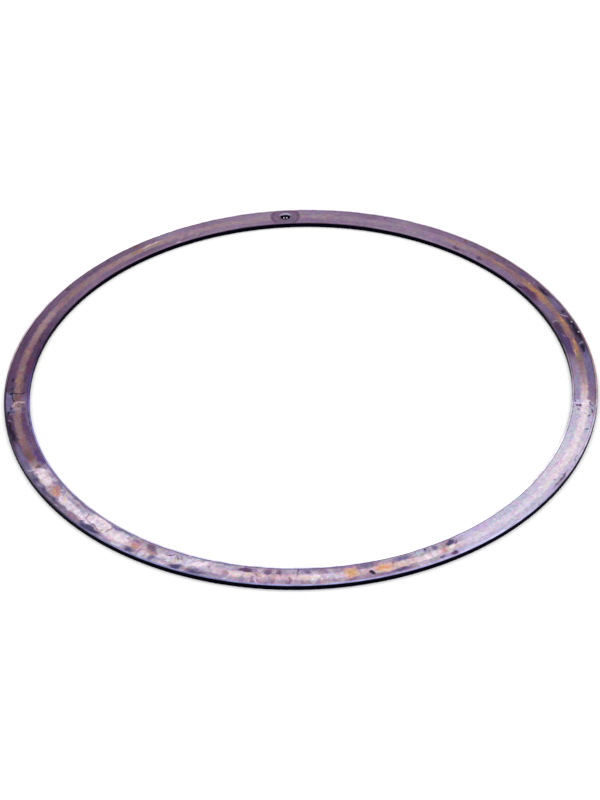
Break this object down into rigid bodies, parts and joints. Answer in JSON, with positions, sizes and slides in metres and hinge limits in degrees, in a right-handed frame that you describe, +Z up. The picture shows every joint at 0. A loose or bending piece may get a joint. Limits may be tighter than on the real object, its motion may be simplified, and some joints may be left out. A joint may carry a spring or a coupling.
{
  "type": "juggling ring",
  "caption": "Slim flat juggling ring: a black moulded core with film laid in a recess on each face, a spliced joint, a lapped joint and a small hollow rivet in a round well.",
  "frame": {"origin": "centre of the ring, on the surface that it lies on", "axes": "+Z up through the ring's axis, out of the decorated top face; +X towards the lapped joint of the film, +Y towards the rivet"},
  "size_m": [0.32, 0.32, 0.003],
  "materials": {
    "core_plastic": "glossy black moulded plastic",
    "dark_film": "stained purple metallised film, satin",
    "light_film": "pale lavender metallised film, satin",
    "patch_film": "dark blue-purple metallised film, satin",
    "rivet_metal": "dulled rolled steel"
  },
  "bodies": {
    "root": {"ring_core": "core_plastic", "far_film_top": "dark_film", "near_film_top": "light_film", "splice_patch_top": "patch_film", "far_film_bottom": "dark_film", "near_film_bottom": "light_film", "splice_patch_bottom": "patch_film", "hollow_rivet": "rivet_metal"}
  },
  "joints": []
}
